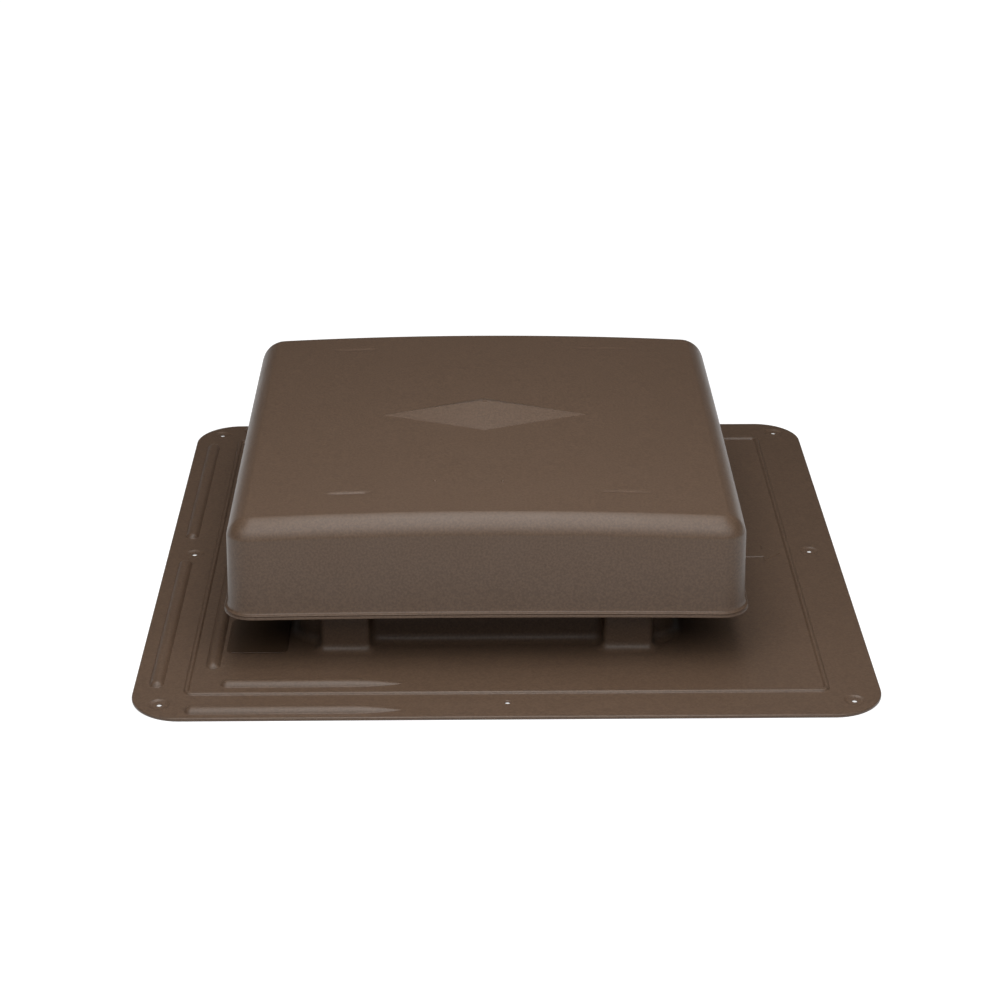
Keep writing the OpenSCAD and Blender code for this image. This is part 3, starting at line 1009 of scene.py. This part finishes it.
@dataclass
class HoodMoulding:
    """Drafted hood with its lip, pads, plugs and relief. Sizes in mm.

    Attributes:
        middle: Place of the hood's middle along the slope.
        width: Width of the skirt at its foot.
        depth: Depth of the skirt at its foot.
        corner: Corner radius of the skirt at its foot.
        inner_corner: Least corner radius of the top's inner loops.
        foot: Height of the skirt's foot.
        lip_drop: How far the lip's soft edge reaches below the foot before it bows.
        lip_bow: How far the front and rear lips bow up in the middle.
        edge_height: Height of the top at its side edges.
        crown_rise: Rise of the top from the side edges to the middle.
        dome_rise: Rise of the top from the front and rear edges to the middle.
        draft: Draft of the skirt in degrees.
        edge_radius: Radius of the top edge.
        edge_flat: How far the top edge leans from a round to a flat bevel, from 0 to 1.
        wall: Thickness of the wall.
        marks: Sink marks of the top.
        relief: Half width, half depth and rise of the relief on the top.
        gate: Section of the gate's dot, above the relief's peak.
        pin_dots: Middles of the two pin dots.
        pin_dot: Section of a pin dot, above the top.
        pad_size: Width, depth and corner radius of a pad.
        pad_y: Distance of a pad's middle from the middle, across the slope.
        pad_span: Lower and upper height of a pad.
        plug_size: Width, depth and corner radius of a plug.
        post_x: Places of the posts along the slope.
        post_y: Distance of a post's middle from the middle, across the slope.
        plug_section: Section of a hollow plug, from inside to outside.
    """

    middle: float = -11.0
    width: float = 294.4
    depth: float = 304.4
    corner: float = 15.0
    inner_corner: float = 5.0
    foot: float = 34.0
    lip_drop: float = 0.5
    lip_bow: float = 1.2
    edge_height: float = 91.1
    crown_rise: float = 3.5
    dome_rise: float = 1.4
    draft: float = 1.1
    edge_radius: float = 10.5
    edge_flat: float = 0.35
    wall: float = 2.5
    marks: tuple[SinkMark, ...] = (
        SinkMark(-102.5, -77.0, -113.0, 0.75), SinkMark(54.0, 82.5, -113.1, 0.35),
        SinkMark(-107.5, -80.5, 117.9, 0.55), SinkMark(48.0, 83.5, 118.4, 0.3))
    relief: Triple = (62.0, 26.0, 8.9)
    gate: Section = ((1.5, -0.6), (1.35, -0.15), (1.1, 0.0), (0.3, 0.05))
    pin_dots: Section = ((-40.4, -99.4), (-1.3, -100.6))
    pin_dot: Section = ((1.2, -0.05), (1.0, 0.4), (0.7, 0.6), (0.2, 0.62))
    pad_size: Triple = (28.4, 17.9, 3.0)
    pad_y: float = 122.45
    pad_span: Point = (88.54, 92.3)
    plug_size: Triple = (24.1, 10.1, 1.0)
    post_x: Point = (-92.5, 70.5)
    post_y: float = 124.2
    plug_section: Section = ((-1.8, 88.7), (-1.8, 74.7), (-1.6, 74.55), (-0.5, 74.55),
                             (0.0, 75.2), (0.0, 88.7))

    def rise(self, x: float | np.ndarray, y: float | np.ndarray) -> float | np.ndarray:
        """Rise of the top above its corners.

        Args:
            x: Place or places along the slope.
            y: Place or places across the slope.

        Returns:
            The rise at each place.
        """
        half_w, half_d = (side / 2 - self.edge_radius - 1 for side in (self.width, self.depth))
        return (self.crown_rise * (1 - ((x - self.middle) / half_w) ** 2)
                + self.dome_rise * (1 - (y / half_d) ** 2))

    def _outline(self) -> RoundedOutline:
        """Outline of the skirt's foot, with enough points for the crown."""
        return RoundedOutline(self.width, self.depth, self.corner, (self.middle, 0.0),
                              corner_steps=10, along=(110, 60), least_radius=self.inner_corner)

    def _crowned(self, outline: RoundedOutline, inset: float, height: float) -> np.ndarray:
        """Loop that follows the rise of the top.

        Args:
            outline: Outline of the skirt's foot.
            inset: Distance inwards from it.
            height: Height of the loop at the corners.

        Returns:
            The bent loop.
        """
        loop = outline.loop(-inset, height)
        loop[:, 2] += self.rise(loop[:, 0], loop[:, 1])
        return loop

    def _bowed(self, outline: RoundedOutline, offset: float, height: float,
               share: float) -> np.ndarray:
        """Loop that follows the bow of the lip.

        Args:
            outline: Outline of the skirt's foot.
            offset: Distance outwards from it.
            height: Height of the loop above the lip's edge.
            share: Share of the bow that the loop takes.

        Returns:
            The bent loop.
        """
        loop = outline.loop(offset, self.foot - self.lip_drop + height)
        bow = 1 - ((loop[:, 0] - self.middle) / (self.width / 2)) ** 2
        loop[:, 2] += share * self.lip_bow * np.clip(bow, 0, 1)
        return loop

    def _edge(self, outline: RoundedOutline, radius: float, flat: float,
              steps: int) -> list[np.ndarray]:
        """Loops round the top edge at one radius about the shared centre line.

        Args:
            outline: Outline of the skirt's foot.
            radius: Radius of the skin at the edge.
            flat: How far the edge leans to a flat bevel.
            steps: Number of segments.

        Returns:
            The loops, from the wall up to the top.
        """
        lean = math.radians(self.draft)
        rise = self.edge_height - self.edge_radius * (1 - math.sin(lean)) - self.foot
        wall_in = rise * math.tan(lean)
        loops = []
        for k in range(steps + 1):
            t = lean + (math.pi / 2 - lean) * k / steps
            reach = radius * (1 - flat + flat * math.cos(math.pi / 4) / math.cos(t - math.pi / 4))
            inset = wall_in + self.edge_radius * math.cos(lean) - reach * math.cos(t)
            height = self.edge_height - self.edge_radius + reach * math.sin(t)
            loops.append(self._crowned(outline, inset, height))
        return loops

    def _skirt(self, outline: RoundedOutline) -> list[np.ndarray]:
        """Loops from the skirt's inner foot round the stepped lip and up the outer wall.

        Args:
            outline: Outline of the skirt's foot.

        Returns:
            The loops, up to the start of the top edge.
        """
        inner = -self.wall
        lower_step = ([(inner, 0.4), (inner + 0.3, 0.0), (1.9, 0.0)]
                      + arc(1.9, 0.18, 0.18, 290, 372, 3)
                      + [(1.9, 1.05), (1.7, 1.25), (1.7, 1.45)])
        upper_step = arc(1.45, 2.1, 0.5, 0, 90, 5) + [(0.9, 2.75)]
        wall_heights, bow_left, bow_run = (5, 9, 14), 0.8, 20
        loops = [(inner, 3.0, 0.6)] + [(u, v, 1.0) for u, v in lower_step + upper_step]
        loops += [(0.45, 3.0, 0.95), (0.12, 3.5, 0.9)]
        loops += [(-math.tan(math.radians(self.draft)) * v, v, max(0.0, bow_left - v / bow_run))
                  for v in wall_heights]
        return [self._bowed(outline, *loop) for loop in loops]

    def build_shell(self, plastic: bpy.types.Material) -> bpy.types.Object:
        """Both skins of the hood with its drip lip.

        Args:
            plastic: Plastic of the hood.

        Returns:
            The piece that stands for the CAD hood.
        """
        outline, inner_steps, outer_steps = self._outline(), 8, 12
        # The top's loops lie close together where the sink marks are.
        top_insets = [12.3, 14, 16, 20, 24, 28, 31, 33, 34.2, 35.0, 35.6, 36.1, 36.5,
                      36.8, 37.1, 37.3, 37.5, 37.7, 37.9, 38.2, 38.6, 39.2, 40.2, 42, 46,
                      *range(52, 148, 8)]
        under_insets = (140, 90, 50, 20)
        top = [self._crowned(outline, inset, self.edge_height) for inset in top_insets]
        for loop in top:
            loop[:, 2] -= sum(mark.dip(loop) for mark in self.marks)
        loops = [self._crowned(outline, inset, self.edge_height - self.wall)
                 for inset in under_insets]
        loops += self._edge(outline, self.edge_radius - self.wall, 0.0, inner_steps)[::-1]
        loops += self._skirt(outline)
        loops += self._edge(outline, self.edge_radius, self.edge_flat, outer_steps) + top
        draft = MeshDraft()
        draft.loft(loops, cap_start=True, cap_end=True)
        piece = draft.finish("hood_shell", plastic, Slot.HOOD, crease=40)
        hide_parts("hood")
        return piece

    def build_relief(self, plastic: bpy.types.Material) -> bpy.types.Object:
        """Raised lozenge with four slopes and crisp ridges.

        Args:
            plastic: Plastic of the hood.

        Returns:
            The relief.
        """
        half_x, half_y, rise = self.relief
        rings, side_steps, skirt, peak = 24, 12, 1.03, 0.004
        tips = ((half_x, 0), (0, half_y), (-half_x, 0), (0, -half_y))
        plan = np.array([(x + (next_x - x) * t, y + (next_y - y) * t)
                         for (x, y), (next_x, next_y) in zip(tips, tips[1:] + tips[:1])
                         for t in (j / side_steps for j in range(side_steps))])
        loops = []
        for k in range(rings + 1):
            scale = skirt - (skirt - peak) * k / rings
            loop = at_height(plan * scale, self.edge_height + rise * (1 - scale),
                             (self.middle, 0.0))
            loop[:, 2] += self.rise(loop[:, 0], loop[:, 1])
            loops.append(loop)
        draft = MeshDraft()
        draft.loft(loops, cap_end=True)
        return draft.finish("top_relief", plastic, Slot.HOOD, crease=11, bevel=0.35)

    def build_marks(self, plastic: bpy.types.Material) -> bpy.types.Object:
        """Gate dot on the relief's peak and two pin dots on the top.

        Args:
            plastic: Plastic of the hood.

        Returns:
            The dots, as one piece.
        """
        draft = MeshDraft()
        peak = self.edge_height + self.crown_rise + self.dome_rise + self.relief[2]
        draft.revolve(self.middle, 0.0, [(r, peak + z) for r, z in self.gate], steps=24,
                      cap_end=True)
        for x, y in self.pin_dots:
            top = self.edge_height + self.rise(x, y)
            draft.revolve(x, y, [(r, top + z) for r, z in self.pin_dot], steps=20,
                          cap_end=True)
        return draft.finish("gate_and_pin_dots", plastic, Slot.HOOD)

    def build_pads(self, plastic: bpy.types.Material) -> bpy.types.Object:
        """Pads that sit on the posts, and the hollow plugs that reach into them.

        Args:
            plastic: Plastic of the hood.

        Returns:
            The pads and plugs, as one piece.
        """
        draft = MeshDraft()
        for x in self.post_x:
            for side in Side:
                pad = RoundedOutline(*self.pad_size, (x, side.value * self.pad_y), corner_steps=6)
                draft.loft(pad.carried([(0.0, z) for z in self.pad_span]), cap_start=True,
                           cap_end=True)
                plug = RoundedOutline(*self.plug_size, (x, side.value * self.post_y),
                                      corner_steps=5)
                draft.loft(plug.carried(self.plug_section))
        return draft.finish("pads_and_plugs", plastic, Slot.HOOD)

    def build(self, finishes: Finishes) -> None:
        """Builds every piece of the hood.

        Args:
            finishes: The vent's finishes.
        """
        for build_piece in (self.build_shell, self.build_relief, self.build_marks,
                            self.build_pads):
            build_piece(finishes.hood)


# ---------------------------------------------------------------- screen


@dataclass
class InsectScreen:
    """Slotted screen on the ledge inside the throat.

    Attributes:
        node: The CAD node that shows it.
    """

    node: str = "insect_screen"

    def build(self, finishes: Finishes) -> None:
        """Dresses the CAD screen, whose shape is right.

        Args:
            finishes: The vent's finishes.
        """
        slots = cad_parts[self.node].data.materials
        slots.clear()
        slots.append(finishes.screen)
        log.info("%s: dressed", self.node)


# ---------------------------------------------------------------- studio


@dataclass(frozen=True)
class Softbox:
    """A plain square lamp. Places in metres.

    Attributes:
        name: Name of the lamp.
        place: Where it hangs.
        power: Power in watts.
        size: Length of a side.
        aim: Point that it faces.
    """

    name: str
    place: Triple
    power: float
    size: float = 0.6
    aim: Triple = (0.0, 0.0, 0.04)

    def build(self) -> None:
        """Makes the lamp."""
        lamp = bpy.data.lights.new(self.name, "AREA")
        lamp.shape = "SQUARE"
        lamp.size = self.size
        lamp.energy = self.power
        item = bpy.data.objects.new(self.name, lamp)
        bpy.context.scene.collection.objects.link(item)
        item.location = self.place
        facing = Vector(self.aim) - Vector(self.place)
        item.rotation_euler = facing.to_track_quat("-Z", "Y").to_euler()


@dataclass(frozen=True)
class StudioCamera:
    """Camera at the photograph's viewing angle. Angles in degrees, lengths in metres.

    Attributes:
        pitch: Height of its line of sight above the floor.
        yaw: Turn about the upright axis.
        roll: Turn about the line of sight.
        tilt_down: How far it looks below its line to the target.
        target: Point on the floor that it stands away from.
        distance: Distance from that point.
        focal_share: Focal length over the width of the picture.
        sensor: Width of the sensor in mm.
        clip: Nearest and farthest distance that it shows.
    """

    pitch: float = 24.2805
    yaw: float = -0.8083
    roll: float = 0.0465
    tilt_down: float = -0.0238
    target: Triple = (-0.000381, 0.082681, 0.0)
    distance: float = 1.58545
    focal_share: float = 2.4032
    sensor: float = 36.0
    clip: Point = (0.05, 40.0)

    def build(self) -> None:
        """Makes the camera and gives it to the scene."""
        lens = bpy.data.cameras.new("studio_camera")
        lens.sensor_width = self.sensor
        lens.lens = self.focal_share * self.sensor
        lens.clip_start, lens.clip_end = self.clip
        camera = bpy.data.objects.new("studio_camera", lens)
        bpy.context.scene.collection.objects.link(camera)
        yaw, roll = math.radians(self.yaw), math.radians(self.roll)
        away, back = (
            Vector((math.sin(yaw) * math.cos(t), -math.cos(yaw) * math.cos(t), math.sin(t)))
            for t in (math.radians(self.pitch), math.radians(self.pitch + self.tilt_down)))
        right = Vector((math.cos(yaw), math.sin(yaw), 0))
        up = back.cross(right)
        level_right = right * math.cos(roll) + up * math.sin(roll)
        level_up = up * math.cos(roll) - right * math.sin(roll)
        turn = Matrix((level_right, level_up, back)).transposed().to_4x4()
        place = Vector(self.target) + away * self.distance
        camera.matrix_world = Matrix.Translation(place) @ turn
        bpy.context.scene.camera = camera


@dataclass
class Studio:
    """Pale floor, faint surround, soft lamps and the camera. Lengths in metres.

    Attributes:
        ambient: Strength of the surround.
        floor_reach: Half the length of the floor's side.
        floor_drop: Depth of the floor below the flange.
        floor_grey: Brightness of the floor under the lamps.
        floor_glow: Strength that the floor adds to what is seen of it, near the vent and far off.
        glow_span: Distances from the middle between which that strength grows.
        softboxes: The lamps.
    """

    ambient: float = 0.05
    floor_reach: float = 6.0
    floor_drop: float = 0.0002
    floor_grey: float = 0.42
    floor_glow: Point = (0.8, 1.0)
    glow_span: Point = (0.25, 0.8)
    softboxes: tuple[Softbox, ...] = (
        Softbox("softbox_rear", (0.0, 0.70, 1.25), 0.8, size=0.9),
        Softbox("softbox_top", (0.0, 0.0, 0.94), 2.7),
        Softbox("softbox_front_high", (0.0, -0.233, 0.909), 2.4),
        Softbox("softbox_front", (0.0, -0.672, 0.712), 2.8),
        Softbox("softbox_left", (-0.492, -0.587, 0.683), 2.2),
        Softbox("softbox_right", (0.492, -0.587, 0.683), 2.1),
    )

    def build_surround(self) -> None:
        """World that gives plain faint light from all sides."""
        world = bpy.data.worlds.new("surround")
        bpy.context.scene.world = world
        world.use_nodes = True
        sky = world.node_tree.nodes["Background"]
        sky.inputs["Color"].default_value = (1, 1, 1, 1)
        sky.inputs["Strength"].default_value = self.ambient

    def _glow(self, tree: bpy.types.NodeTree) -> bpy.types.NodeSocket:
        """Strength that the floor adds for rays from the camera, from gloss or through glass.

        Args:
            tree: Node tree of the floor's material.

        Returns:
            The strength, which grows away from the vent.
        """
        path = tree.nodes.new("ShaderNodeLightPath")
        seen = maths(tree, "MAXIMUM", path.outputs["Is Camera Ray"], path.outputs["Is Glossy Ray"])
        seen = maths(tree, "MAXIMUM", seen, path.outputs["Is Transmission Ray"])
        away = tree.nodes.new("ShaderNodeVectorMath")
        away.operation = "LENGTH"
        feed(tree, tree.nodes.new("ShaderNodeTexCoord").outputs["Object"], away.inputs[0])
        growth = ramp(tree, away.outputs["Value"], *self.glow_span, *self.floor_glow)
        return maths(tree, "MULTIPLY", seen, growth)

    def build_floor(self) -> None:
        """Plain floor that keeps a soft shadow and looks white beyond it."""
        mesh = bpy.data.meshes.new("studio_floor")
        reach = self.floor_reach
        corners = ((-reach, -reach), (reach, -reach), (reach, reach), (-reach, reach))
        mesh.from_pydata([(x, y, -self.floor_drop) for x, y in corners], [], [(0, 1, 2, 3)])
        floor = bpy.data.objects.new("studio_floor", mesh)
        bpy.context.scene.collection.objects.link(floor)
        material = bpy.data.materials.new("pale_floor")
        material.use_nodes = True
        tree = material.node_tree
        surface = tree.nodes["Principled BSDF"]
        for label, value in (("Base Color", (*[self.floor_grey] * 3, 1)), ("Roughness", 0.9),
                             ("Specular IOR Level", 0.0), ("Emission Color", (1, 1, 1, 1)),
                             ("Emission Strength", self._glow(tree))):
            feed(tree, value, surface.inputs[label])
        mesh.materials.append(material)

    def build(self) -> None:
        """Sets up the whole studio."""
        bpy.context.scene.view_settings.view_transform = "Standard"
        StudioCamera().build()
        self.build_surround()
        self.build_floor()
        for box in self.softboxes:
            box.build()


def main() -> None:
    """Builds the studio, the finishes and each sub-assembly in order."""
    logging.basicConfig(level=logging.INFO, format="%(message)s")
    Studio().build()
    finishes = Finishes.build()
    BaseMoulding().build(finishes)
    InsectScreen().build(finishes)
    HoodMoulding().build(finishes)


if __name__ == "__main__":
    main()
